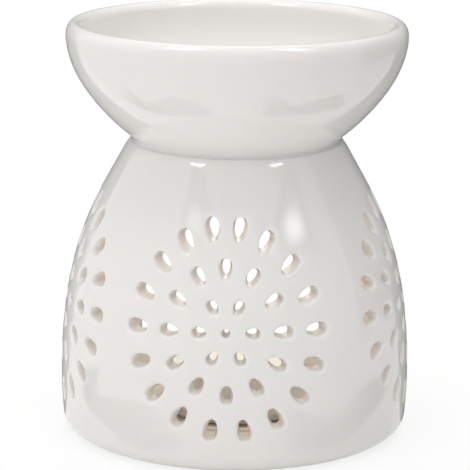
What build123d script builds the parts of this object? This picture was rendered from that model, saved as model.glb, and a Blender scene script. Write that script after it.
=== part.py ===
"""Ceramic essential oil burner: an oil bowl on a pierced chamber, with a tealight inside.

Units are millimetres. The origin is the centre of the foot ring, on the surface that the
burner stands on. +Z is up, the middle medallion faces -Y and the rear arch faces +Y.
"""

import os
from math import copysign, cos, pi, radians, sin

from build123d import *

# Driving sizes of the pierced chamber
belly_radius = 47.7
waist_radius = 27.8
waist_height = 81.1
chamber_wall = 4.2
foot_corner_radius = 5.2
foot_recess = 1.5
foot_ring_width = 3.7
shoulder_edge_radius = 3.6
joint_width = 3.2

# Driving sizes of the oil bowl
rim_radius = 46.0
bowl_height = 31.1
lip_width = 4.6
bowl_wall = 4.3
bowl_base_thickness = 5.0
spigot_depth = 1.6
luting_gap = 0.3

# Driving sizes of the rear arch
arch_half_width = 29.0
arch_spring_height = 24.0
arch_sill_height = 9.0
arch_corner_radius = 8.0
arch_edge_radius = 0.8

# Driving sizes of the pierced medallions
medallion_height = 37.8
centre_hole_radius = 0.75
inner_petal_count = 6
inner_petal_orbit = 7.45
inner_petal_length = 3.0
inner_petal_width = 2.05
middle_petal_count = 12
middle_petal_orbit = 16.1
middle_petal_length = 4.3
middle_petal_width = 2.5
outer_petal_count = 18
outer_petal_orbit = 26.0
outer_petal_length = 5.3
outer_petal_width = 2.85

# Driving sizes of the chamber floor and its locating ring
floor_thickness = 3.0
ring_inner_radius = 22.0
ring_width = 2.0
ring_height = 0.8
ring_edge_radius = 0.35

# Driving sizes of the tealight, which is a standard size
cup_radius = 19.0
cup_height = 15.0
cup_wall = 0.4
cup_corner_radius = 1.4
cup_bead_radius = 0.45
cup_step_radius = 14.0
cup_step_height = 0.4
wax_clearance = 0.3
wax_height = 11.6
wax_top_edge_radius = 1.2
wax_bottom_edge_radius = 0.6
wick_radius = 0.75
wick_tip_radius = 0.4
wick_exposed = 7.0
sustainer_radius = 6.0
sustainer_thickness = 0.3
sustainer_neck_radius = 1.3
sustainer_neck_height = 3.0

# One overrun carries every cut past the faces that it opens
overrun = 10.0

# Angles in degrees; a wall's lean is positive where it leans outwards as it climbs
foot_lean = 4.8
shoulder_lean = -29.0
crease_lean = -60.0
bowl_foot_lean = 52.0
left_medallion_azimuth = -81.0
right_medallion_azimuth = 85.0
medallion_half_angle = 30.7
medallion_lean_per_mm = -0.03
inner_first_angle = 30.0
middle_first_angle = 0.0
outer_first_angle = 10.0

# The side of the chamber, from its foot corner up to its shoulder: share of the way out
# from shoulder to belly, share of the climb between corner and shoulder, and lean
chamber_side_shares = (
    (0.977, 0.0, foot_lean),
    (0.997, 0.199, -1.6),
    (0.926, 0.413, -8.2),
    (0.732, 0.628, -17.6),
    (0.417, 0.816, -27.2),
    (0.0, 1.0, shoulder_lean),
)

# The outside of the bowl, from the waist up to the lip, in the same three terms
bowl_side_shares = (
    (0.0, 0.0, bowl_foot_lean),
    (0.275, 0.139, 47.0),
    (0.692, 0.4375, 36.0),
    (0.923, 0.708, 20.0),
    (1.0, 1.0, 0.0),
)

# Where the well turns from its wall to its flat middle: shares of the radius, and of the
# height above the middle, of the lowest point of the wall
well_turn_radius_share = 0.55
well_turn_height_share = 0.13

# A petal narrows towards its tip by this share, is rounder than an ellipse by this power,
# and is drawn through this many points
petal_taper_share = 0.2
petal_fullness = 0.85
petal_point_count = 8

# Places that follow from the sizes above
lip_radius = lip_width / 2
total_height = waist_height + bowl_height
lip_height = total_height - lip_radius
neck_radius = waist_radius - joint_width
edge_centre_radius = waist_radius - shoulder_edge_radius * cos(radians(crease_lean))
edge_centre_height = waist_height + shoulder_edge_radius * sin(radians(crease_lean))
shoulder_radius = edge_centre_radius + shoulder_edge_radius * cos(radians(shoulder_lean))
shoulder_height = edge_centre_height - shoulder_edge_radius * sin(radians(shoulder_lean))
floor_top = foot_recess + floor_thickness
bowl_underside = waist_height - spigot_depth
well_bottom = bowl_underside + bowl_base_thickness
cup_floor = floor_top + cup_wall
cup_top = floor_top + cup_height
cup_inner_radius = cup_radius - cup_wall
wax_radius = cup_inner_radius - wax_clearance
wax_bottom = cup_floor + cup_step_height
wick_length = wax_height + wick_exposed


def climb(lean):
    """Direction in which a wall of this lean climbs."""
    return (sin(radians(lean)), cos(radians(lean)))


def outline(shares, low, high):
    """Points of a wall's outside between its lowest and its highest corner."""
    return [
        (low[0] + out_share * (high[0] - low[0]), low[1] + up_share * (high[1] - low[1]))
        for out_share, up_share, lean in shares
    ]


def lining(points, shares, wall):
    """Points of the inside of a wall, square across it from the points of its outside."""
    return [
        (radius - wall * cos(radians(lean)), height + wall * sin(radians(lean)))
        for (radius, height), (out_share, up_share, lean) in zip(points, shares)
    ]


def petal_planes(orbit, count, first_angle):
    """Planes of one ring of petals on each medallion, wrapped round the belly."""
    planes = []
    spread = medallion_half_angle * orbit / outer_petal_orbit
    for medallion in (left_medallion_azimuth, 0, right_medallion_azimuth):
        for index in range(count):
            clock = radians(first_angle + index * 360 / count)
            lean = medallion_lean_per_mm * orbit * cos(clock)
            azimuth = radians(medallion + spread * sin(clock) + lean)
            height = medallion_height + orbit * cos(clock)
            outwards = Vector(sin(azimuth), -cos(azimuth), 0)
            sideways = Vector(cos(azimuth), sin(azimuth), 0)
            from_centre = sideways * sin(clock) + Vector(0, 0, 1) * cos(clock)
            start = outwards * hole_start_radius + Vector(0, 0, height)
            planes.append(Plane(start, x_dir=from_centre.cross(outwards), z_dir=outwards))
    return planes


def petal_points(length, width):
    """Points round an egg shape whose round end points up the sketch."""
    points = []
    for index in range(petal_point_count):
        turn = 2 * pi * index / petal_point_count
        fullness = copysign(abs(sin(turn)) ** petal_fullness, sin(turn))
        half_width = width / 2 * fullness * (1 - petal_taper_share * cos(turn))
        points.append((half_width, -length / 2 * cos(turn)))
    return points


# Pierced chamber: a shell of revolution on a foot ring, with a pocket for its floor
side_points = outline(
    chamber_side_shares, (shoulder_radius, foot_corner_radius), (belly_radius, shoulder_height)
)
lining_points = lining(side_points, chamber_side_shares, chamber_wall)
pocket_radius = side_points[0][0] - chamber_wall
foot_radius = side_points[0][0] - foot_corner_radius
hole_start_radius = neck_radius
hole_depth = belly_radius - hole_start_radius + overrun

with BuildPart() as pierced_chamber:
    with BuildSketch(Plane.YZ):
        with BuildLine():
            Spline(*side_points, tangents=[climb(lean) for _, _, lean in chamber_side_shares])
            RadiusArc(side_points[-1], (waist_radius, waist_height), -shoulder_edge_radius)
            Polyline(
                (waist_radius, waist_height),
                (neck_radius, waist_height),
                (neck_radius, lining_points[-1][1]),
            )
            Spline(
                (neck_radius, lining_points[-1][1]),
                *reversed(lining_points[1:-1]),
                (pocket_radius, floor_top),
            )
            Polyline(
                (pocket_radius, floor_top),
                (pocket_radius, foot_recess),
                (foot_radius - foot_ring_width, foot_recess),
                (foot_radius - foot_ring_width, 0),
                (foot_radius, 0),
            )
            RadiusArc((foot_radius, 0), side_points[0], -foot_corner_radius)
        make_face()
    revolve(axis=Axis.Z)

    # Rear arch, the way in for the tealight, with edges softened by the glaze
    with BuildSketch(Plane.XZ.offset(-belly_radius - overrun)) as arch:
        with BuildLine():
            CenterArc((0, arch_spring_height), arch_half_width, 0, 180)
            Polyline(
                (-arch_half_width, arch_spring_height),
                (-arch_half_width, arch_sill_height),
                (arch_half_width, arch_sill_height),
                (arch_half_width, arch_spring_height),
            )
        make_face()
        fillet(arch.vertices().group_by(Axis.Y)[0], arch_corner_radius)
    extrude(amount=belly_radius + overrun, mode=Mode.SUBTRACT)
    fillet(edges(Select.LAST).filter_by(Axis.Y, reverse=True), arch_edge_radius)

    # Medallions: rings of petals round a small round hole
    for orbit, count, first_angle, length, width in (
        (inner_petal_orbit, inner_petal_count, inner_first_angle, inner_petal_length, inner_petal_width),
        (middle_petal_orbit, middle_petal_count, middle_first_angle, middle_petal_length, middle_petal_width),
        (outer_petal_orbit, outer_petal_count, outer_first_angle, outer_petal_length, outer_petal_width),
    ):
        with BuildSketch(*petal_planes(orbit, count, first_angle)):
            with BuildLine():
                Spline(*petal_points(length, width), periodic=True)
            make_face()
        extrude(amount=hole_depth, mode=Mode.SUBTRACT)
    with BuildSketch(*petal_planes(0, 1, 0)):
        Circle(centre_hole_radius)
    extrude(amount=hole_depth, mode=Mode.SUBTRACT)

# Oil bowl: its base closes the neck of the chamber, and its spigot centres it there
bowl_points = outline(
    bowl_side_shares, (waist_radius, waist_height), (rim_radius, lip_height)
)
well_points = lining(bowl_points, bowl_side_shares, bowl_wall)[1:-1]
well_turn = (
    well_points[0][0] * well_turn_radius_share,
    well_bottom + (well_points[0][1] - well_bottom) * well_turn_height_share,
)
spigot_radius = neck_radius - luting_gap

with BuildPart() as oil_bowl:
    with BuildSketch(Plane.YZ):
        with BuildLine():
            Polyline(
                (0, well_bottom),
                (0, bowl_underside),
                (spigot_radius, bowl_underside),
                (spigot_radius, waist_height),
                (waist_radius, waist_height),
            )
            Spline(*bowl_points, tangents=[climb(lean) for _, _, lean in bowl_side_shares])
            ThreePointArc(
                (rim_radius, lip_height),
                (rim_radius - lip_radius, total_height),
                (rim_radius - lip_width, lip_height),
            )
            Spline(
                (rim_radius - lip_width, lip_height),
                *reversed(well_points),
                well_turn,
                (0, well_bottom),
                tangents=((0, -1), (-1, 0)),
            )
        make_face()
    revolve(axis=Axis.Z)

# Chamber floor: a slab in the pocket of the foot, with a ring that locates the tealight
with BuildPart() as chamber_floor:
    with BuildSketch(Plane.XY.offset(foot_recess)):
        Circle(pocket_radius)
    extrude(amount=floor_thickness)
    with BuildSketch(Plane.XY.offset(floor_top)):
        Circle(ring_inner_radius + ring_width)
        Circle(ring_inner_radius, mode=Mode.SUBTRACT)
    extrude(amount=ring_height)
    fillet(edges().group_by(Axis.Z)[-1], ring_edge_radius)

# Tealight cup: a drawn cup with a rolled bead and a pressed step in its base
with BuildPart() as tealight_cup:
    with BuildSketch(Plane.YZ):
        with BuildLine():
            base = Polyline(
                (0, floor_top + cup_step_height),
                (cup_step_radius, floor_top + cup_step_height),
                (cup_step_radius + cup_step_height, floor_top),
                (cup_radius - cup_corner_radius, floor_top),
            )
            RadiusArc(base @ 1, (cup_radius, floor_top + cup_corner_radius), -cup_corner_radius)
            Polyline(
                (cup_radius, floor_top + cup_corner_radius),
                (cup_radius, cup_top - cup_bead_radius),
                (cup_inner_radius, cup_top - cup_bead_radius),
                (cup_inner_radius, floor_top + cup_corner_radius),
            )
            RadiusArc(
                (cup_inner_radius, floor_top + cup_corner_radius),
                (cup_radius - cup_corner_radius, cup_floor),
                cup_corner_radius - cup_wall,
            )
            Polyline(
                (cup_radius - cup_corner_radius, cup_floor),
                (cup_step_radius + cup_step_height, cup_floor),
                (cup_step_radius, cup_floor + cup_step_height),
                (0, cup_floor + cup_step_height),
                (0, floor_top + cup_step_height),
            )
        make_face()
        with Locations((cup_inner_radius + cup_bead_radius, cup_top - cup_bead_radius)):
            Circle(cup_bead_radius)
    revolve(axis=Axis.Z)

# Wick sustainer: a thin foot disc with a neck that grips the wick
with BuildPart() as wick_sustainer:
    with BuildSketch(Plane.XY.offset(wax_bottom)):
        Circle(sustainer_radius)
    extrude(amount=sustainer_thickness)
    with BuildSketch(Plane.XY.offset(wax_bottom + sustainer_thickness)):
        Circle(sustainer_neck_radius)
    extrude(amount=sustainer_neck_height)
    Hole(wick_radius)

# Candle wax: cast round the wick and its sustainer
with BuildPart() as candle_wax:
    with BuildSketch(Plane.XY.offset(wax_bottom)):
        Circle(wax_radius)
    extrude(amount=wax_height)
    fillet(edges().group_by(Axis.Z)[-1], wax_top_edge_radius)
    fillet(edges().group_by(Axis.Z)[0], wax_bottom_edge_radius)
    with BuildSketch(Plane.XY.offset(wax_bottom)):
        Circle(sustainer_radius)
    extrude(amount=sustainer_thickness, mode=Mode.SUBTRACT)
    with BuildSketch(Plane.XY.offset(wax_bottom + sustainer_thickness)):
        Circle(sustainer_neck_radius)
    extrude(amount=sustainer_neck_height, mode=Mode.SUBTRACT)
    with BuildSketch(Plane.XY.offset(wax_bottom)):
        Circle(wick_radius)
    extrude(amount=wax_height, mode=Mode.SUBTRACT)

# Wick: from the underside of the sustainer to above the wax
with BuildPart() as wick:
    with BuildSketch(Plane.XY.offset(wax_bottom)):
        Circle(wick_radius)
    extrude(amount=wick_length)
    fillet(edges().group_by(Axis.Z)[-1], wick_tip_radius)

# Each piece goes to a file of its own name
pieces = {
    "oil_bowl": oil_bowl,
    "pierced_chamber": pierced_chamber,
    "chamber_floor": chamber_floor,
    "tealight_cup": tealight_cup,
    "candle_wax": candle_wax,
    "wick": wick,
    "wick_sustainer": wick_sustainer,
}
os.makedirs("parts", exist_ok=True)
for name, piece in pieces.items():
    piece.part.label = name
    export_step(piece.part, f"parts/{name}.step")
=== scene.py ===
import bpy
import math
from mathutils import Matrix, Vector, geometry


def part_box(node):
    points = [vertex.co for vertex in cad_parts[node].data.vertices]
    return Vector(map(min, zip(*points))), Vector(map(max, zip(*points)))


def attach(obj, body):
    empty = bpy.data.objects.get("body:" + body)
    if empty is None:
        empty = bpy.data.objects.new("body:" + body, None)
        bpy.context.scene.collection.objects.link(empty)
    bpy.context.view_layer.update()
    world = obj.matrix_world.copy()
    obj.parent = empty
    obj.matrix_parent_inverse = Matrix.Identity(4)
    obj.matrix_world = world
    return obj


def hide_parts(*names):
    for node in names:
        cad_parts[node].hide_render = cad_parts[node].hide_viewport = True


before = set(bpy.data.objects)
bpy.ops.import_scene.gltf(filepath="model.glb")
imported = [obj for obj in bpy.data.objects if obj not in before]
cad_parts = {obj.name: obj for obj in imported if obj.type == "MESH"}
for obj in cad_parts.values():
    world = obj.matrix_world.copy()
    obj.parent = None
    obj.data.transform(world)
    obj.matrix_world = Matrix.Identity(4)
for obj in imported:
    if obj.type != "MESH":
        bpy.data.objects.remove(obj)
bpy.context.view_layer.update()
print("frame loaded:", len(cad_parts), "nodes")

mm = 0.001
mergeDistance = 0.00001  # metres
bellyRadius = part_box("pierced_chamber")[1].x / mm


def clearSelection():
    for each in bpy.context.selected_objects:
        each.select_set(False)


def makeObject(name, points, faces=(), edges=()):
    mesh = bpy.data.meshes.new(name)
    mesh.from_pydata(points, edges, faces)
    made = bpy.data.objects.new(name, mesh)
    bpy.context.scene.collection.objects.link(made)
    clearSelection()
    made.select_set(True)
    bpy.context.view_layer.objects.active = made
    return made


# A wall's line: corners are (radius, height, lean in degrees from straight up)
def lineThrough(corners, steps):
    line = []
    for (r0, h0, lean0), (r1, h1, lean1) in zip(corners, corners[1:]):
        chord = math.hypot(r1 - r0, h1 - h0)
        for step in range(steps):
            t = step / steps
            a = 2 * t**3 - 3 * t**2 + 1
            b = (t**3 - 2 * t**2 + t) * chord
            c = (t**3 - t**2) * chord
            line.append((
                a * r0 + b * math.sin(math.radians(lean0)) + (1 - a) * r1 + c * math.sin(math.radians(lean1)),
                a * h0 + b * math.cos(math.radians(lean0)) + (1 - a) * h1 + c * math.cos(math.radians(lean1)),
            ))
    line.append(corners[-1][:2])
    return line


# A round corner, from one angle to another, with angles counted from the outward side upwards
def roundCorner(centre, radius, fromAngle, toAngle, steps):
    share = (toAngle - fromAngle) / steps
    turns = [math.radians(fromAngle + share * step) for step in range(steps + 1)]
    return [(centre[0] + radius * math.cos(turn), centre[1] + radius * math.sin(turn)) for turn in turns]


# Spins a line of (radius, height) points about the middle axis
def spinLine(name, line, steps=192, startAngle=0.0, sharpAngle=40.0):
    turn = math.radians(startAngle)
    points = [(r * mm * math.sin(turn), -r * mm * math.cos(turn), h * mm) for r, h in line]
    made = makeObject(name, points, edges=[(i, i + 1) for i in range(len(points) - 1)])
    bpy.ops.object.mode_set(mode="EDIT")
    bpy.ops.mesh.select_all(action="SELECT")
    bpy.ops.mesh.spin(steps=steps, angle=math.tau, center=(0, 0, 0), axis=(0, 0, 1))
    bpy.ops.mesh.select_all(action="SELECT")
    bpy.ops.mesh.remove_doubles(threshold=mergeDistance)
    bpy.ops.mesh.normals_make_consistent(inside=False)
    bpy.ops.object.mode_set(mode="OBJECT")
    bpy.ops.object.shade_smooth_by_angle(angle=math.radians(sharpAngle))
    return made


# ---- Glazes, metal and wax
def nodeMaterial(name, base, roughness):
    made = bpy.data.materials.new(name)
    made.use_nodes = True
    shader = made.node_tree.nodes["Principled BSDF"]
    shader.inputs["Base Color"].default_value = (*base, 1)
    shader.inputs["Roughness"].default_value = roughness
    return made, made.node_tree, shader


# Noise on the piece's own coordinates; detail size is in millimetres
def addNoise(tree, size, detail=2.0, stretch=(1, 1, 1)):
    place = tree.nodes.new("ShaderNodeTexCoord")
    scaled = tree.nodes.new("ShaderNodeMapping")
    scaled.inputs["Scale"].default_value = stretch
    noise = tree.nodes.new("ShaderNodeTexNoise")
    noise.inputs["Scale"].default_value = 1000 / size
    noise.inputs["Detail"].default_value = detail
    tree.links.new(place.outputs["Object"], scaled.inputs["Vector"])
    tree.links.new(scaled.outputs["Vector"], noise.inputs["Vector"])
    return noise.outputs["Fac"]


# Carries a value from one range to another
def addRange(tree, value, fromLow, fromHigh, toLow, toHigh, smooth=False):
    made = tree.nodes.new("ShaderNodeMapRange")
    if smooth:
        made.interpolation_type = "SMOOTHSTEP"
    for socket, number in (
        ("From Min", fromLow), ("From Max", fromHigh), ("To Min", toLow), ("To Max", toHigh),
    ):
        made.inputs[socket].default_value = number
    tree.links.new(value, made.inputs["Value"])
    return made.outputs["Result"]


def addMath(tree, operation, first, second):
    made = tree.nodes.new("ShaderNodeMath")
    made.operation = operation
    for socket, value in zip(made.inputs, (first, second)):
        if isinstance(value, (int, float)):
            socket.default_value = value
        else:
            tree.links.new(value, socket)
    return made.outputs[0]


# Mixes two colours; each may be a colour or another node's output
def addMix(tree, share, first, second):
    made = tree.nodes.new("ShaderNodeMix")
    made.data_type = "RGBA"
    tree.links.new(share, made.inputs["Factor"])
    for socket, value in ((made.inputs["A"], first), (made.inputs["B"], second)):
        if isinstance(value, tuple):
            socket.default_value = (*value, 1)
        else:
            tree.links.new(value, socket)
    return made.outputs["Result"]


def addBump(tree, shader, height, depth, before=None):
    made = tree.nodes.new("ShaderNodeBump")
    made.inputs["Distance"].default_value = depth * mm
    made.inputs["Strength"].default_value = 1.0
    tree.links.new(height, made.inputs["Height"])
    if before:
        tree.links.new(before, made.inputs["Normal"])
    tree.links.new(made.outputs["Normal"], shader.inputs["Normal"])
    return made.outputs["Normal"]


glaze = {
    "white": (0.80, 0.784, 0.764),
    "thin": (0.79, 0.735, 0.665),  # inside and in the holes: warmer and darker, partly a thinner coat of glaze over the body, partly painted shade of the light bounced round inside the chamber
    "speck": (0.42, 0.33, 0.24),
    "body": (0.66, 0.60, 0.51),  # bare clay under the foot
    "roughness": (0.02, 0.045), "glossSize": 5.0, "ior": 1.52,
    "cloudSize": 14.0, "cloudShare": 0.08,
    "waveSize": 26.0, "waveDepth": 0.10,
    "peelSize": 1.1, "peelDepth": 0.003,
    "speckSize": 4.2, "speckShare": 0.05, "speckRim": (0.02, 0.06), "speckStrength": 0.45,
    "bareHeight": 0.25, "bareRoughness": 0.7,
    "glow": 0.25, "glowDepth": 1.6, "glowTint": (1.0, 0.85, 0.7),
}


# With no share given, the tone turns with the depth into the wall to the inside tone of painted shade and
# thinner glaze
def makeGlaze(name, shadeShare=None):
    made, tree, shader = nodeMaterial(name, glaze["white"], 0.08)
    nodes, links = tree.nodes, tree.links
    cloud = addNoise(tree, glaze["cloudSize"], 3.0)
    faint = addRange(tree, cloud, 0.35, 0.7, 0, glaze["cloudShare"])
    tone = addMix(tree, faint, glaze["white"], glaze["thin"])
    if shadeShare is None:
        depth = nodes.new("ShaderNodeAttribute")
        depth.attribute_name = "depth"
        shadeShare = addRange(tree, depth.outputs["Fac"], 0.12, 0.75, 0, 1, smooth=True)
        # painted shade, partly thinner glaze: the hole walls and the inside take the warmer, darker tone
        tone = addMix(tree, shadeShare, tone, glaze["thin"])
    else:
        # a fixed share of the same painted-shade inside tone, varied a little at random
        tone = addMix(tree, addRange(tree, cloud, 0.3, 0.7, shadeShare * 0.85, shadeShare), tone, glaze["thin"])
    # fine specks of iron, few and small
    place = nodes.new("ShaderNodeTexCoord")
    cells = nodes.new("ShaderNodeTexVoronoi")
    cells.inputs["Scale"].default_value = 1000 / glaze["speckSize"]
    links.new(place.outputs["Object"], cells.inputs["Vector"])
    chosen = nodes.new("ShaderNodeSeparateColor")
    links.new(cells.outputs["Color"], chosen.inputs["Color"])
    few = addMath(tree, "LESS_THAN", chosen.outputs[0], glaze["speckShare"])
    dot = addRange(tree, cells.outputs["Distance"], *glaze["speckRim"], glaze["speckStrength"], 0)
    tone = addMix(tree, addMath(tree, "MULTIPLY", few, dot), tone, glaze["speck"])
    # the glaze is wiped off what it stands on
    axes = nodes.new("ShaderNodeSeparateXYZ")
    links.new(place.outputs["Object"], axes.inputs[0])
    bareTop = glaze["bareHeight"] * mm
    bare = addRange(tree, axes.outputs["Z"], bareTop, bareTop * 1.6, 1, 0)
    tone = addMix(tree, bare, tone, glaze["body"])
    links.new(tone, shader.inputs["Base Color"])
    gloss = addRange(tree, addNoise(tree, glaze["glossSize"], 2.0), 0.3, 0.7, *glaze["roughness"])
    dry = addMath(tree, "MULTIPLY", bare, glaze["bareRoughness"])
    links.new(addMath(tree, "MAXIMUM", gloss, dry), shader.inputs["Roughness"])
    wave = addBump(tree, shader, addNoise(tree, glaze["waveSize"], 1.0), glaze["waveDepth"])
    addBump(tree, shader, addNoise(tree, glaze["peelSize"], 1.0), glaze["peelDepth"], wave)
    shader.inputs["IOR"].default_value = glaze["ior"]
    shader.inputs["Subsurface Weight"].default_value = glaze["glow"]
    shader.inputs["Subsurface Radius"].default_value = glaze["glowTint"]
    shader.inputs["Subsurface Scale"].default_value = glaze["glowDepth"] * mm
    return made


chamberGlaze = makeGlaze("chamberGlaze")
bowlGlaze = makeGlaze("bowlGlaze", 0.0)
# the floor inside the chamber takes nearly all of the inside tone: painted shade, partly thinner glaze
floorGlaze = makeGlaze("floorGlaze", 0.9)


# ---- Pierced chamber
chamber = {
    "side": (  # height, radius, lean of the outside
        (5.2, 47.273, 4.8), (20.031, 47.644, -1.6), (35.980, 46.327, -8.2),
        (52.003, 42.728, -17.6), (66.015, 36.885, -27.2), (79.728, 29.149, -29.0),
    ),
    "lining": (  # the same for the inside
        (4.5, 43.073, 4.0), (19.914, 43.446, 0.0), (35.381, 42.170, -8.2),
        (50.733, 38.725, -17.6), (64.095, 33.149, -27.2), (77.692, 24.6, -37.0),
    ),
    "wall": 4.2,
    "sheetLow": 6.5, "sheetHigh": 69.0,
    "seam": -129.0,  # a column that no petal and no arch crosses
    "columns": 360,
    "gridSize": 2.3, "sharpAngle": 50,
    "neck": 24.6, "ledge": (26.9, 80.0),
    "shoulder": ((30.62, 77.4, -29.1), (29.115, 79.713, -37.0)),  # radius, height, lean
    "shoulderEdge": (28.476, 79.232, 0.8, 37, 80),  # centre, radius and the angles that it turns through
    "footEdge": (42.073, 5.2, 5.2, 0, -84), "footBlend": 5.85,  # as the shoulder's edge
    "footFlat": 41.473, "footInner": 38.37, "footRecess": 1.5,
    "footRound": (0.6, -110, -180),  # radius and angles of the ring's inner edge
    "medallions": (-81.0, 0.0, 85.0),
    "medallionHeight": 37.8,
    "medallionLean": -0.03,  # degrees about the axis for each mm up, as the pattern was cut by hand
    "rings": (  # orbit, spread in degrees, number, first clock angle, length, width
        (7.45, 8.8, 6, 30, 3.0, 2.05),
        (16.1, 19.0, 12, 0, 4.3, 2.5),
        (26.0, 30.7, 18, 10, 5.3, 2.85),
    ),
    "taper": 0.2, "fullness": 0.85,
    "petalPoints": 26,
    "centreHole": 0.75,
    "arch": {
        "half": 29.0, "spring": 24.0, "sill": 9.0, "corner": 8.0,
        "drop": 3.5, "sillPoints": (-14, -7, 0, 7, 14),
    },
    "petalRim": (  # distance out from the hole, height above the skin
        (1.7, 0.0), (1.5, -0.01), (1.25, -0.03), (1.0, -0.07), (0.78, -0.13), (0.60, -0.22), (0.47, -0.35),
        (0.38, -0.55), (0.30, -0.85), (0.18, -1.4), (0.04, -2.1), (-0.1, -2.9), (-0.2, -3.4),
    ),
    "archRim": ((0.9, 0.0), (0.66, -0.03), (0.42, -0.12), (0.22, -0.26), (0.08, -0.46), (0.0, -0.8)),
    "petalBack": ((-0.2, 0.7), (-0.15, 0.42), (-0.02, 0.2), (0.18, 0.06), (0.42, 0.0)),
    "archBack": ((0.0, 0.7), (0.05, 0.42), (0.18, 0.2), (0.38, 0.06), (0.62, 0.0)),
}


# Radius and slope of one side of the wall at a height
def sideAt(knots, height):
    for (h0, r0, lean0), (h1, r1, lean1) in zip(knots, knots[1:]):
        if height <= h1 or h1 == knots[-1][0]:
            break
    rise = h1 - h0
    t = (height - h0) / rise
    s0, s1 = math.tan(math.radians(lean0)) * rise, math.tan(math.radians(lean1)) * rise
    radius = (2 * t**3 - 3 * t**2 + 1) * r0 + (t**3 - 2 * t**2 + t) * s0
    radius += (3 * t**2 - 2 * t**3) * r1 + (t**3 - t**2) * s1
    slope = (6 * t**2 - 6 * t) * (r0 - r1) + (3 * t**2 - 4 * t + 1) * s0 + (3 * t**2 - 2 * t) * s1
    return radius, slope / rise


# The same within the wall, with depth counted from the outside in
def wallAt(height, depth):
    outer, outerSlope = sideAt(chamber["side"], height)
    inner, innerSlope = sideAt(chamber["lining"], height)
    share = depth / chamber["wall"]
    return outer + (inner - outer) * share, outerSlope + (innerSlope - outerSlope) * share


def wallPoint(azimuth, height, depth):
    radius = wallAt(height, depth)[0]
    return (radius * math.sin(azimuth), -radius * math.cos(azimuth), height)


def wallNormal(azimuth, height, depth):
    slope = wallAt(height, depth)[1]
    return Vector((math.sin(azimuth), -math.cos(azimuth), -slope)).normalized()


# A hole's outline is (sideways, up) points about its own place on the wall
def petalOutline(clock, length, width):
    outline = []
    for index in range(chamber["petalPoints"]):
        turn = math.tau * index / chamber["petalPoints"]
        full = math.copysign(abs(math.sin(turn)) ** chamber["fullness"], math.sin(turn))
        x = width / 2 * full * (1 - chamber["taper"] * math.cos(turn))
        y = -length / 2 * math.cos(turn)
        outline.append((x * math.cos(clock) + y * math.sin(clock), y * math.cos(clock) - x * math.sin(clock)))
    return outline


def archOutline():
    arch = chamber["arch"]
    half, spring, sill, corner = arch["half"], arch["spring"], arch["sill"], arch["corner"]
    outline = roundCorner((0, spring), half, 0, 180, 44)
    outline.append((-half, spring - arch["drop"]))
    outline += roundCorner((corner - half, sill + corner), corner, 180, 270, 8)
    outline += [(x, sill) for x in arch["sillPoints"]]
    outline += roundCorner((half - corner, sill + corner), corner, 270, 360, 8)
    outline.append((half, spring - arch["drop"]))
    return outline


# Each hole: its azimuth, height and outline, and its rims outside and inside
holes = []
petalSides = (chamber["petalRim"], chamber["petalBack"])
for medallion in chamber["medallions"]:
    for orbit, spread, count, first, length, width in chamber["rings"]:
        for index in range(count):
            clock = math.radians(first + index * 360 / count)
            up = orbit * math.cos(clock)
            azimuth = math.radians(medallion + spread * math.sin(clock) + chamber["medallionLean"] * up)
            petal = petalOutline(clock, length, width)
            holes.append((azimuth, chamber["medallionHeight"] + up, petal, *petalSides))
    circle = roundCorner((0, 0), chamber["centreHole"], 90, -247.5, 15)  # 16 points
    holes.append((math.radians(medallion), chamber["medallionHeight"], circle, *petalSides))
holes.append((math.pi, 0.0, archOutline(), chamber["archRim"], chamber["archBack"]))

points, normals, faces = [], [], []
frontLoops, backLoops = [], []


# The rim of one hole, ring by ring, from the skin through the wall to the lining
def addRim(azimuth, height, outline, rim, back):
    count = len(outline)
    rings = [(out, -up) for out, up in rim]
    rings += [(out, chamber["wall"] - up) for out, up in back]
    if sum(outline[i - 1][0] * outline[i][1] - outline[i][0] * outline[i - 1][1] for i in range(count)) < 0:
        outline = outline[::-1]
    away = []
    for i in range(count):
        dx = outline[(i + 1) % count][0] - outline[i - 1][0]
        dy = outline[(i + 1) % count][1] - outline[i - 1][1]
        away.append(Vector((dy, -dx)).normalized())
    sideways = Vector((math.cos(azimuth), math.sin(azimuth), 0))
    loops = []
    for k, (out, depth) in enumerate(rings):
        before, after = rings[max(k - 1, 0)], rings[min(k + 1, len(rings) - 1)]
        tilt = math.atan2(after[1] - before[1], before[0] - after[0])
        tilt = 0 if k == 0 else math.pi if k == len(rings) - 1 else tilt
        loop = []
        for (x, y), a in zip(outline, away):
            h = height + y + a.y * out
            turn = azimuth + math.asin((x + a.x * out) / wallAt(h, depth)[0])
            loop.append((len(points), turn, h))
            points.append(wallPoint(turn, h, depth))
            inPlane = sideways * a.x + Vector((0, 0, a.y))
            tilted = wallNormal(turn, h, depth) * math.cos(tilt) - inPlane * math.sin(tilt)
            normals.append(tilted.normalized())
        loops.append(loop)
    for near, far in zip(loops, loops[1:]):
        for i in range(count):
            j = (i + 1) % count
            faces.append((near[i][0], near[j][0], far[j][0], far[i][0]))
    frontLoops.append(loops[0])
    backLoops.append(loops[-1])


for hole in holes:
    addRim(*hole)
print("rims:", len(holes), "holes,", len(faces), "faces")


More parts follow.
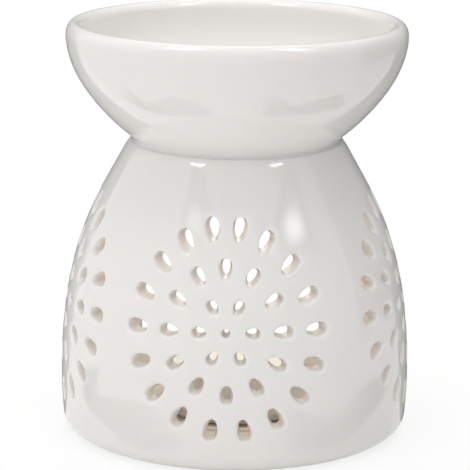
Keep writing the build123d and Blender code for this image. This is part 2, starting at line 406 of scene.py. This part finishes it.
# The skin between the holes, at one depth: a grid of points and the hole loops, joined by triangles
def addSkin(loops, depth, facesOut):
    scale = bellyRadius
    start = math.radians(chamber["seam"])
    flat, owner, index = [], [], []

    def put(turn, h, hole, known=None):
        flat.append(Vector((((turn - start) % math.tau) * scale, h)))
        owner.append(hole)
        if known is None:
            known = len(points)
            points.append(wallPoint(turn, h, depth))
            normals.append(wallNormal(turn, h, depth) * (1 if facesOut else -1))
        index.append(known)
        return len(flat) - 1

    edges = []
    shapes = []
    for number, loop in enumerate(loops):
        around = [put(turn, h, number, known) for known, turn, h in loop]
        edges += list(zip(around, around[1:] + around[:1]))
        ring = [flat[i] for i in around]
        middle = sum(ring, Vector((0, 0))) / len(ring)
        shapes.append((middle, max((p - middle).length for p in ring), ring))
    low, high, columns = chamber["sheetLow"], chamber["sheetHigh"], chamber["columns"]
    rows = round((high - low) / chamber["gridSize"])
    width = math.tau * scale
    for level in (low, high):
        line = [put(start + math.tau * i / columns, level, -1) for i in range(columns)]
        flat.append(Vector((width, level)))  # the seam's other side is the same point
        owner.append(-1)
        index.append(index[line[0]])
        line.append(len(flat) - 1)
        edges += list(zip(line, line[1:]))
    for row in range(1, rows):
        h = low + (high - low) * row / rows
        seamPoint = put(start, h, -1)
        flat.append(Vector((width, h)))
        owner.append(-1)
        index.append(index[seamPoint])
    across = round(width / chamber["gridSize"])
    gap = chamber["gridSize"] * 0.5
    for row in range(1, rows):
        h = low + (high - low) * row / rows
        for column in range(1, across):
            place = Vector((width * (column + (row % 2) / 2) / across, h))
            if place.x > width - gap:
                continue
            free = True
            for middle, reach, ring in shapes:
                if (place - middle).length > reach + gap:
                    continue
                if min((place - p).length for p in ring) < gap:
                    free = False
                    break
                inside = False
                for p, q in zip(ring, ring[1:] + ring[:1]):
                    if (p.y > place.y) == (q.y > place.y):
                        continue
                    if place.x < (q.x - p.x) * (place.y - p.y) / (q.y - p.y) + p.x:
                        inside = not inside
                if inside:
                    free = False
                    break
            if free:
                put(start + place.x / scale, h, -1)
    result = geometry.delaunay_2d_cdt(flat, edges, [], 0, 0.00001)
    origin = result[3]
    for triangle in result[2]:
        corners = [origin[v][0] for v in triangle]
        if owner[corners[0]] >= 0 and owner[corners[0]] == owner[corners[1]] == owner[corners[2]]:
            continue  # the triangle covers a hole
        triple = [index[c] for c in corners]
        faces.append(tuple(triple if facesOut else reversed(triple)))


addSkin(frontLoops, 0.0, True)
addSkin(backLoops, chamber["wall"], False)
print("skins:", len(points), "points,", len(faces), "faces")
sheet = makeObject("chamberSheet", [(x * mm, y * mm, z * mm) for x, y, z in points], faces)
kept = sheet.data.attributes.new("wallNormal", "FLOAT_VECTOR", "POINT")
for i, normal in enumerate(normals):
    kept.data[i].vector = normal

# Shoulder, neck and the top of the lining; then the foot
sheetLow, sheetHigh = chamber["sheetLow"], chamber["sheetHigh"]
liningLow, liningFoot = chamber["lining"][0][:2]
liningHigh = chamber["lining"][-1][0]
sheetTop, sheetSlope = sideAt(chamber["side"], sheetHigh)
topCorners = [(sheetTop, sheetHigh, math.degrees(math.atan(sheetSlope))), *chamber["shoulder"]]
topLine = lineThrough(topCorners, 7)[:-1]
edgeX, edgeZ, *edgeTurn = chamber["shoulderEdge"]
topLine += roundCorner((edgeX, edgeZ), *edgeTurn, 9)
topLine += [chamber["ledge"], (chamber["neck"], chamber["ledge"][1]), (chamber["neck"], liningHigh)]
for step in range(1, 6):
    height = liningHigh + (sheetHigh - liningHigh) * step / 5
    topLine.append((sideAt(chamber["lining"], height)[0], height))
footLine = [(sideAt(chamber["side"], height)[0], height) for height in (sheetLow, chamber["footBlend"])]
edgeX, edgeZ, *edgeTurn = chamber["footEdge"]
footLine += roundCorner((edgeX, edgeZ), *edgeTurn, 14)
ringRound, *ringTurn = chamber["footRound"]
ringCentre = (chamber["footInner"] + ringRound, ringRound)
footLine += [(chamber["footFlat"], 0.0), (ringCentre[0], 0.0)]
footLine += roundCorner(ringCentre, ringRound, *ringTurn, 4)
footLine += [(chamber["footInner"], chamber["footRecess"]), (liningFoot, chamber["footRecess"])]
footLine += [(liningFoot, liningLow), (sideAt(chamber["lining"], sheetLow)[0], sheetLow)]
shoulder = spinLine("chamberShoulder", topLine, chamber["columns"], chamber["seam"])
foot = spinLine("chamberFoot", footLine, chamber["columns"], chamber["seam"])
clearSelection()
for each in (sheet, shoulder, foot):
    each.select_set(True)
bpy.context.view_layer.objects.active = sheet
bpy.ops.object.join()
sheet.name = "piercedChamberGlazed"
bpy.ops.object.mode_set(mode="EDIT")
bpy.ops.mesh.select_all(action="SELECT")
bpy.ops.mesh.remove_doubles(threshold=2 * mergeDistance)
bpy.ops.mesh.normals_make_consistent(inside=False)
bpy.ops.object.mode_set(mode="OBJECT")
bpy.ops.object.shade_smooth_by_angle(angle=math.radians(chamber["sharpAngle"]))
handNormals = [Vector(item.vector) for item in sheet.data.attributes["wallNormal"].data]
sheet.data.normals_split_custom_set_from_vertices(handNormals)
sheet.data.attributes.remove(sheet.data.attributes["wallNormal"])
sheet.data.materials.clear()
sheet.data.materials.append(chamberGlaze)
# how far each point is into the wall, for the glaze's inside tone of painted shade and thinner glaze
depths = sheet.data.attributes.new("depth", "FLOAT", "POINT")
for i, vertex in enumerate(sheet.data.vertices):
    place = vertex.co / mm
    outside = sideAt(chamber["side"], place.z)[0]
    depths.data[i].value = min(max((outside - place.xy.length) / chamber["wall"], 0), 1)
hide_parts("pierced_chamber")
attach(sheet, "burner")
print("pierced chamber:", len(sheet.data.polygons), "faces")


# ---- Oil bowl
bowl = {
    "side": (  # radius, height, lean of the outside, from the glaze in the crease up
        (28.85, 79.88, -64.0), (27.95, 80.62, 2.0), (28.55, 81.45, 49.0), (32.805, 85.103, 47.0),
        (40.394, 93.7, 36.0), (44.599, 101.49, 20.0), (46.0, 108.8, 0.0),
    ),
    "well": (
        (0.0, 84.5, 90.0), (16.03, 84.94, 82.6), (29.55, 88.07, 61.2), (33.32, 91.14, 41.5),
        (36.94, 96.26, 32.4), (40.57, 103.0, 17.9), (41.4, 109.9, 0.0),
    ),
    "lipMiddle": 43.7, "lipHalf": 2.3,
    "lipRounds": ((108.8, 3.4), (109.9, 2.3)),  # where the outer and the inner round start, and their rise
    "spigot": 24.3, "underside": 79.5, "underRing": 12.0,
}
bowlLine = [(r, bowl["underside"]) for r in (0.0, bowl["underRing"], bowl["spigot"])]
bowlLine += [(bowl["spigot"], chamber["ledge"][1]), chamber["ledge"]]
bowlLine += lineThrough(bowl["side"], 7)[:-1]
for turn in range(0, 180, 9):
    base, rise = bowl["lipRounds"][0 if turn < 90 else 1]
    across = bowl["lipHalf"] * math.cos(math.radians(turn))
    bowlLine.append((bowl["lipMiddle"] + across, base + rise * math.sin(math.radians(turn))))
bowlLine += list(reversed(lineThrough(bowl["well"], 6)))
oilBowl = spinLine("oilBowlGlazed", bowlLine)
oilBowl.data.materials.append(bowlGlaze)
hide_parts("oil_bowl")
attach(oilBowl, "burner")
print("oil bowl:", len(oilBowl.data.polygons), "faces")

# ---- Chamber floor
floorPlate = {
    "line": (  # radius and height, from the middle of the underside to the middle of the top
        (0.0, 1.5), (21.0, 1.5), (43.0, 1.5), (43.0, 4.4),
        (42.95, 5.15), (42.65, 4.8), (42.2, 4.58), (41.6, 4.5), (33.0, 4.5),  # slip smoothed into the corner
        (24.15, 4.5), (24.02, 4.56), (23.97, 4.75), (23.95, 4.95), (23.88, 5.14), (23.75, 5.25), (23.6, 5.29),
        (22.4, 5.29), (22.25, 5.25), (22.12, 5.14), (22.05, 4.95), (22.03, 4.75), (21.98, 4.56), (21.85, 4.5),
        (15.0, 4.5), (7.0, 4.5), (0.0, 4.5),
    ),
}
chamberFloor = spinLine("chamberFloorGlazed", floorPlate["line"])
chamberFloor.data.materials.append(floorGlaze)
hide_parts("chamber_floor")
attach(chamberFloor, "burner")
print("chamber floor:", len(chamberFloor.data.polygons), "faces")


# ---- Tealight: cup, wax, wick and its foot
tealight = {
    "cup": (  # radius, height, from the middle of its base round the bead to the inside
        (0.0, 4.9), (7.0, 4.9), (13.95, 4.9), (14.15, 4.84), (14.35, 4.6), (14.55, 4.52), (15.2, 4.5),
        (16.6, 4.5), (17.6, 4.5), (18.14, 4.61), (18.59, 4.91), (18.89, 5.36), (19.0, 5.9), (19.0, 8.5),
        (18.97, 12.0), (19.0, 15.5), (19.0, 18.5), (19.06, 18.6), (19.3, 18.72), (19.44, 18.88),
        (19.5, 19.08), (19.42, 19.3), (19.27, 19.44), (19.05, 19.5), (18.83, 19.44), (18.68, 19.3),
        (18.6, 19.05), (18.6, 15.5), (18.62, 12.0), (18.6, 8.5), (18.6, 5.9), (18.48, 5.45), (18.2, 5.1),
        (17.7, 4.92), (15.2, 4.9), (14.45, 4.96), (14.15, 5.22), (13.85, 5.3), (7.0, 5.3), (0.0, 5.3),
    ),
    "wax": (
        (1.3, 5.6), (6.0, 5.6), (6.0, 5.3), (12.0, 5.3), (17.5, 5.3), (17.95, 5.38), (18.22, 5.62),
        (18.3, 5.95), (18.3, 11.0), (18.3, 15.8), (18.2, 16.3), (17.95, 16.68), (17.55, 16.86), (17.0, 16.88),
        (16.0, 16.84), (12.5, 16.76), (7.0, 16.7), (3.5, 16.6), (1.9, 16.5), (1.1, 16.55), (0.78, 16.72),
        (0.76, 16.4), (0.76, 12.0), (0.76, 8.9), (1.3, 8.9),
    ),
    "foot": (
        (0.78, 5.3), (5.9, 5.3), (6.0, 5.36), (6.0, 5.54), (5.9, 5.6), (1.8, 5.6), (1.42, 5.68), (1.3, 5.95),
        (1.3, 8.75), (1.22, 8.88), (0.78, 8.9),
    ),
    "wick": (
        (0.0, 5.3), (0.7, 5.3), (0.75, 5.4), (0.75, 9.0), (0.75, 13.0), (0.75, 16.9), (0.74, 19.0),
        (0.75, 21.5), (0.74, 23.0), (0.66, 23.55), (0.42, 23.84), (0.0, 23.9),
    ),
    "cupTones": ((0.80, 0.80, 0.81), (0.70, 0.70, 0.71)), "cupGloss": (0.26, 0.42),
    "waxTones": ((0.86, 0.84, 0.78), (0.83, 0.80, 0.72)), "waxGloss": (0.36, 0.55),
    "waxGlow": 0.4, "waxGlowDepth": 3.0, "waxGlowTint": (1.0, 0.8, 0.5),
    "wickTones": ((0.66, 0.63, 0.56), (0.82, 0.80, 0.75)), "braidScale": 900.0, "braidDepth": 0.12,
    "footTones": ((0.66, 0.66, 0.66), (0.56, 0.56, 0.57)), "footGloss": (0.22, 0.42),
    "drawLineSize": 0.9, "drawLineDepth": 0.02,
    "dentSize": 7.0, "dentDepth": 0.10,
    "dimpleSize": 3.0, "dimpleDepth": 0.08,
    "scratchSize": 0.8, "scratchDepth": 0.02,
}


# Mottles the colour between two tones, with spots of a size in millimetres
def addMottle(tree, shader, tones, size, detail, low, high):
    spots = addRange(tree, addNoise(tree, size, detail), low, high, 0, 1)
    tree.links.new(addMix(tree, spots, *tones), shader.inputs["Base Color"])


# Varies the roughness between two values
def addGloss(tree, shader, values, size, detail, stretch=(1, 1, 1)):
    gloss = addRange(tree, addNoise(tree, size, detail, stretch), 0.3, 0.7, *values)
    tree.links.new(gloss, shader.inputs["Roughness"])


cupMetal, cupTree, cupShader = nodeMaterial("cupAluminium", tealight["cupTones"][0], 0.34)
cupShader.inputs["Metallic"].default_value = 1.0
addMottle(cupTree, cupShader, tealight["cupTones"], 6.0, 3.0, 0.35, 0.7)
addGloss(cupTree, cupShader, tealight["cupGloss"], 0.7, 2.0, (1, 1, 0.12))
drawLines = addNoise(cupTree, tealight["drawLineSize"], 2.0, (1, 1, 0.08))
drawn = addBump(cupTree, cupShader, drawLines, tealight["drawLineDepth"])
addBump(cupTree, cupShader, addNoise(cupTree, tealight["dentSize"], 1.0), tealight["dentDepth"], drawn)

candleWax, waxTree, waxShader = nodeMaterial("candleWax", tealight["waxTones"][0], 0.45)
addMottle(waxTree, waxShader, tealight["waxTones"], 4.0, 4.0, 0.4, 0.7)
addGloss(waxTree, waxShader, tealight["waxGloss"], 2.2, 2.0)
addBump(waxTree, waxShader, addNoise(waxTree, tealight["dimpleSize"], 4.0), tealight["dimpleDepth"])
waxShader.inputs["Subsurface Weight"].default_value = tealight["waxGlow"]
waxShader.inputs["Subsurface Radius"].default_value = tealight["waxGlowTint"]
waxShader.inputs["Subsurface Scale"].default_value = tealight["waxGlowDepth"] * mm

wickCotton, cottonTree, cottonShader = nodeMaterial("wickCotton", tealight["wickTones"][1], 0.9)
braid = cottonTree.nodes.new("ShaderNodeTexWave")
braid.wave_type = "BANDS"
braid.bands_direction = "DIAGONAL"
braid.inputs["Scale"].default_value = tealight["braidScale"]
braid.inputs["Distortion"].default_value = 1.5
braidPlace = cottonTree.nodes.new("ShaderNodeTexCoord")
cottonTree.links.new(braidPlace.outputs["Object"], braid.inputs["Vector"])
braidTone = addMix(cottonTree, braid.outputs["Fac"], *tealight["wickTones"])
cottonTree.links.new(braidTone, cottonShader.inputs["Base Color"])
addBump(cottonTree, cottonShader, braid.outputs["Fac"], tealight["braidDepth"])

footTin, tinTree, tinShader = nodeMaterial("footTinplate", tealight["footTones"][0], 0.3)
tinShader.inputs["Metallic"].default_value = 1.0
addMottle(tinTree, tinShader, tealight["footTones"], 2.5, 3.0, 0, 1)
addGloss(tinTree, tinShader, tealight["footGloss"], 1.2, 3.0)
addBump(tinTree, tinShader, addNoise(tinTree, tealight["scratchSize"], 2.0), tealight["scratchDepth"])

for part, name, node, body, finish, slotName, steps in (
    ("cup", "tealightCupDrawn", "tealight_cup", "tealight", cupMetal, "cup_aluminium", 144),
    ("wax", "candleWaxCast", "candle_wax", "candle", candleWax, "wax", 128),
    ("wick", "wickBraided", "wick", "candle", wickCotton, "cotton", 32),
    ("foot", "wickFootPressed", "wick_sustainer", "candle", footTin, "tinplate", 64),
):
    line = list(tealight[part])
    if part in ("wax", "foot"):
        line.append(line[0])  # these have a hole in the middle, so the line closes on itself
    turned = spinLine(name, line, steps)
    turned.data.materials.append(finish)
    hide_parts(node)
    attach(turned, body)
print("tealight: 4 pieces")


# ---- Studio
studio = {
    "cameraPlace": (0.0331, -0.6533, 0.2071), "lookAt": (0, 0, 0.0532), "roll": 0.474,
    "lens": 188.17, "sensor": 36, "shiftX": -0.0012,
    "floorSize": 6.0, "floorShadow": 0.2, "floorTone": (0.90, 0.90, 0.89),
    "worldLight": 0.87,
    "aim": 0.06,  # height of the point that the softboxes face
    # azimuth from the middle medallion, elevation, distance, width, height, strength, soft edge share
    "softboxes": {  # only their reflections show
        "leftStrip": (-48, 56.6, 1.5, 0.36, 0.62, 9.0, 0.2),
        "rightStrip": (56, 56.6, 1.5, 0.33, 0.62, 9.0, 0.2),
        "leftGlow": (-34, 37, 1.6, 0.62, 0.36, 3.0, 0.95),
        "rightGlow": (55, 33, 1.6, 0.72, 0.45, 6.0, 0.95),
    },
    "fills": {  # these light the burner, and their reflections don't show
        "frontFill": (0, 14, 2.2, 2.4, 1.2, 1.35, 0.2),
        "topFill": (0, 88, 1.2, 0.9, 0.9, 4.6, 0.4),
        "archLight": (180, 24, 0.9, 0.7, 0.5, 2.5, 0.3),
        "chamberFill": (0, 90, 0.012, 0.036, 0.036, 5.2, 0.2),  # inside, over the flame
    },
    # grey and corners; the heights come last, in metres
    "flags": {  # only their reflections show, as the dark bands along both sides
        "rearLeft": (0.22, ((-0.71, 0.6, 0), (0, 0.6, 0), (0, 0.6, 0.5), (-0.71, 0.6, 0.9))),
        "rearRight": (0.15, ((0, 0.6, 0), (0.34, 0.6, 0), (0.34, 0.6, 0.9), (0, 0.6, 0.5))),
        "rightWall": (0.40, ((0.34, 0.6, 0), (0.34, -0.01, 0), (0.34, -0.01, 0.32), (0.34, 0.6, 0.5))),
        "whiteCard": (1.0, (  # keeps the strips out of the bowl
            (-0.02, 0.016, 0.1145), (0.018, 0.016, 0.1145), (0.018, 0.031, 0.1145), (-0.02, 0.031, 0.1145))),
    },
    "shades": {  # these only take light away
        "rightShade": (0.2, ((0.30, 0.5, 0), (0.30, -0.45, 0), (0.30, -0.45, 0.22), (0.30, 0.5, 0.22))),
    },
    "cardHeight": 0.0004,
    "floorCards": {  # as the flags, lying on the floor
        "rearCard": (0.18, (
            (-0.05, 0.0), (-0.10, 0.045), (-0.15, 0.088), (-0.22, 0.16), (-0.40, 0.30), (-0.71, 0.52),
            (-0.71, 0.6), (0.34, 0.6), (0.34, 0.29), (0.215, 0.18), (0.145, 0.096), (0.10, 0.056),
            (0.05, 0.0))),
        "leftCard": (0.0, (
            (-0.144, -0.021), (-0.105, -0.02), (-0.089, -0.025), (-0.086, -0.052), (-0.08, -0.066),
            (-0.069, -0.079), (-0.058, -0.074), (-0.041, -0.089), (-0.041, -0.072), (-0.027, -0.067),
            (-0.018, -0.057), (-0.028, -0.048), (-0.052, -0.035), (-0.075, -0.012), (-0.099, 0.007),
            (-0.121, 0.009))),
        "rightCard": (0.0, (
            (0.044, -0.092), (0.062, -0.087), (0.06, -0.063), (0.07, -0.045), (0.089, -0.044),
            (0.106, -0.032), (0.121, -0.012), (0.115, 0.015), (0.098, 0.022), (0.08, -0.007),
            (0.057, -0.03), (0.034, -0.045), (0.024, -0.056), (0.035, -0.067), (0.035, -0.083))),
    },
}

# The floor is white where it is seen, apart from the burner's soft shadow
bpy.ops.mesh.primitive_plane_add(size=studio["floorSize"], location=(0, 0, 0))
floor = bpy.context.object
floor.name = "paleFloor"
floorMaterial, floorTree, floorShader = nodeMaterial("paleFloor", studio["floorTone"], 0.8)
seen = floorTree.nodes.new("ShaderNodeLightPath")
anySeen = addMath(floorTree, "MAXIMUM", seen.outputs["Is Camera Ray"], seen.outputs["Is Glossy Ray"])
share = addMath(floorTree, "MULTIPLY", anySeen, 1 - studio["floorShadow"])
white = floorTree.nodes.new("ShaderNodeEmission")
blend = floorTree.nodes.new("ShaderNodeMixShader")
floorTree.links.new(share, blend.inputs["Fac"])
floorTree.links.new(floorShader.outputs[0], blend.inputs[1])
floorTree.links.new(white.outputs[0], blend.inputs[2])
floorTree.links.new(blend.outputs[0], floorTree.nodes["Material Output"].inputs["Surface"])
floor.data.materials.append(floorMaterial)


# Makes a panel glow and leaves it out of what the camera sees
def makeGlowing(panel, name, lights, reflected):
    material = bpy.data.materials.new(name)
    material.use_nodes = True
    tree = material.node_tree
    tree.nodes.clear()
    output = tree.nodes.new("ShaderNodeOutputMaterial")
    glow = tree.nodes.new("ShaderNodeEmission")
    tree.links.new(glow.outputs[0], output.inputs["Surface"])
    panel.name = name
    panel.data.materials.append(material)
    panel.visible_camera = False
    panel.visible_transmission = False
    panel.visible_shadow = False
    panel.visible_diffuse = lights
    panel.visible_glossy = reflected
    return tree, glow


# A panel that faces the burner and fades towards its edges
def addSoftbox(name, azimuth, elevation, distance, width, height, strength, edge, reflected):
    turn, rise = math.radians(azimuth), math.radians(elevation)
    away = Vector((math.sin(turn) * math.cos(rise), -math.cos(turn) * math.cos(rise), math.sin(rise)))
    bpy.ops.mesh.primitive_plane_add(size=1)
    panel = bpy.context.object
    panel.data.transform(Matrix.Diagonal((width, height, 1, 1)))
    spin = (-away).to_track_quat("-Z", "Y").to_matrix().to_4x4()
    panel.matrix_world = Matrix.Translation(away * distance + Vector((0, 0, studio["aim"]))) @ spin
    tree, glow = makeGlowing(panel, name, not reflected, reflected)
    place = tree.nodes.new("ShaderNodeTexCoord")
    parts = tree.nodes.new("ShaderNodeSeparateXYZ")
    tree.links.new(place.outputs["Object"], parts.inputs[0])
    fades = []
    for axis, size in ((0, width), (1, height)):
        fromMiddle = addMath(tree, "ABSOLUTE", parts.outputs[axis], 0)
        fades.append(addRange(tree, fromMiddle, size / 2, size / 2 * (1 - edge), 0, 1, smooth=True))
    level = addMath(tree, "MULTIPLY", addMath(tree, "MULTIPLY", *fades), strength)
    tree.links.new(level, glow.inputs["Strength"])


# A flat card of one grey
def addFlag(name, grey, corners, lights=False):
    flag = makeObject(name, corners, [tuple(range(len(corners)))])
    glow = makeGlowing(flag, name, lights, not lights)[1]
    glow.inputs["Color"].default_value = (grey, grey, grey, 1)


for name, values in studio["softboxes"].items():
    addSoftbox(name, *values, True)
for name, values in studio["fills"].items():
    addSoftbox(name, *values, False)
for name, (grey, corners) in studio["flags"].items():
    addFlag(name, grey, corners)
for name, (grey, corners) in studio["floorCards"].items():
    addFlag(name, grey, [(x, y, studio["cardHeight"]) for x, y in corners])
for name, (grey, corners) in studio["shades"].items():
    addFlag(name, grey, corners, lights=True)
print("studio:", len(studio["softboxes"]) + len(studio["fills"]), "softboxes")

cameraData = bpy.data.cameras.new("camera")
cameraData.lens = studio["lens"]
cameraData.sensor_width = studio["sensor"]
cameraData.shift_x = studio["shiftX"]
camera = bpy.data.objects.new("camera", cameraData)
bpy.context.scene.collection.objects.link(camera)
place = Vector(studio["cameraPlace"])
aim = (Vector(studio["lookAt"]) - place).to_track_quat("-Z", "Y").to_matrix().to_4x4()
camera.matrix_world = Matrix.Translation(place) @ aim @ Matrix.Rotation(math.radians(studio["roll"]), 4, "Z")
bpy.context.scene.camera = camera

# The world lights the burner softly, and is plain white where it is seen
world = bpy.data.worlds.new("studio")
bpy.context.scene.world = world
world.use_nodes = True
worldTree = world.node_tree
soft = worldTree.nodes["Background"]
soft.inputs["Color"].default_value = (1, 1, 1, 1)
soft.inputs["Strength"].default_value = studio["worldLight"]
backdrop = worldTree.nodes.new("ShaderNodeBackground")
backdrop.inputs["Color"].default_value = (1, 1, 1, 1)
path = worldTree.nodes.new("ShaderNodeLightPath")
anySeen = addMath(worldTree, "MAXIMUM", path.outputs["Is Camera Ray"], path.outputs["Is Glossy Ray"])
anySeen = addMath(worldTree, "MAXIMUM", anySeen, path.outputs["Is Transmission Ray"])
pick = worldTree.nodes.new("ShaderNodeMixShader")
worldTree.links.new(anySeen, pick.inputs["Fac"])
worldTree.links.new(soft.outputs[0], pick.inputs[1])
worldTree.links.new(backdrop.outputs[0], pick.inputs[2])
worldTree.links.new(pick.outputs[0], worldTree.nodes["World Output"].inputs["Surface"])
bpy.context.scene.view_settings.view_transform = "Standard"
